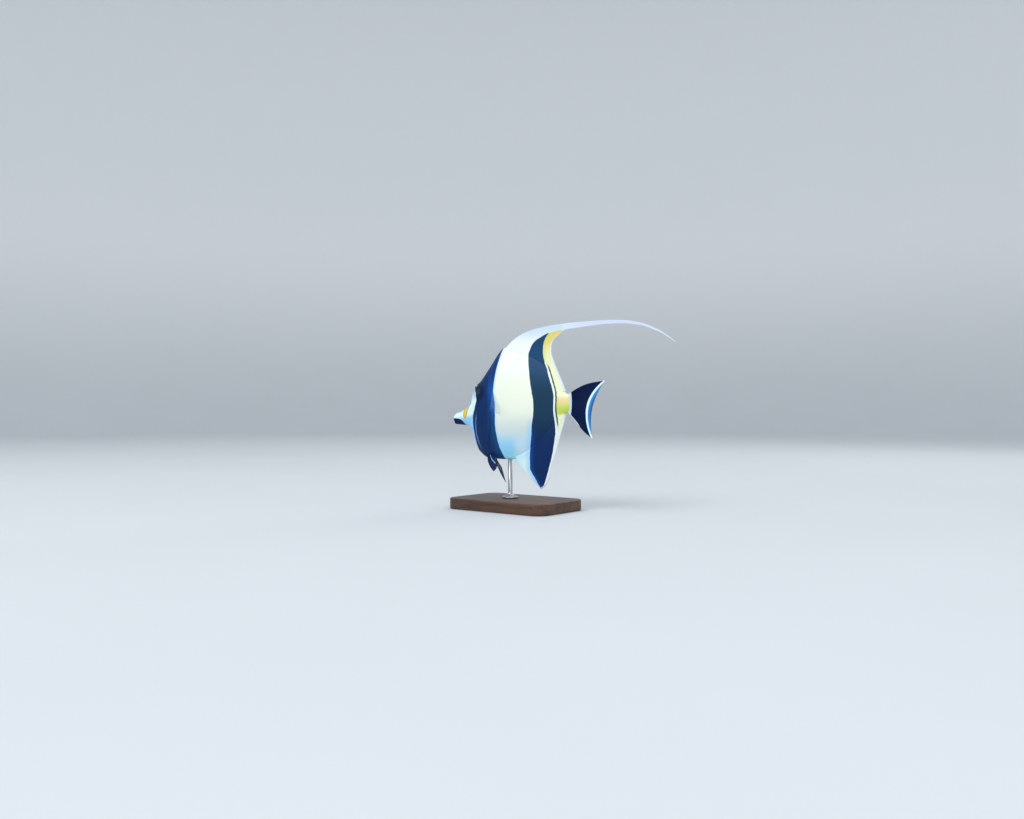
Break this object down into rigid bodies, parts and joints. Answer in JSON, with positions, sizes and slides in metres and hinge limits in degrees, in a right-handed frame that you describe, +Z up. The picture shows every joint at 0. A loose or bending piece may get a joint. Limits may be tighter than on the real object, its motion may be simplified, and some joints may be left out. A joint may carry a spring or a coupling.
{
  "type": "moorish idol fish",
  "caption": "Life-size still model of a moorish idol: tall flat disc body, tubular snout, trailing dorsal streamer, set in mid-swim on a rod and a flat base.",
  "frame": {"origin": "centre of the underside of the stand's base", "axes": "+X from the fish's head to its tail, +Y to the fish's right side, +Z up from the base"},
  "size_m": [0.2853, 0.084, 0.2014],
  "materials": {
    "skin": "satin painted resin, white and yellow with two wide black bars",
    "fin": "satin painted resin with fine rays",
    "eye": "glossy, dark brown with a black pupil",
    "horn": "dull grey bone",
    "stand_wood": "dark oiled wood",
    "stand_steel": "brushed"
  },
  "bodies": {
    "root": {"head": "skin", "snout": "skin", "lower_jaw": "skin", "torso": "skin", "tail_stalk": "skin", "eye_left": "eye", "eye_right": "eye", "horn_left": "horn", "horn_right": "horn", "dorsal_fin": "fin", "dorsal_streamer": "fin", "anal_fin": "fin", "tail_fin": "fin", "pectoral_fin_left": "fin", "pectoral_fin_right": "fin", "pelvic_fin_left": "fin", "pelvic_fin_right": "fin", "stand_base": "stand_wood", "stand_rod": "stand_steel"}
  },
  "joints": []
}
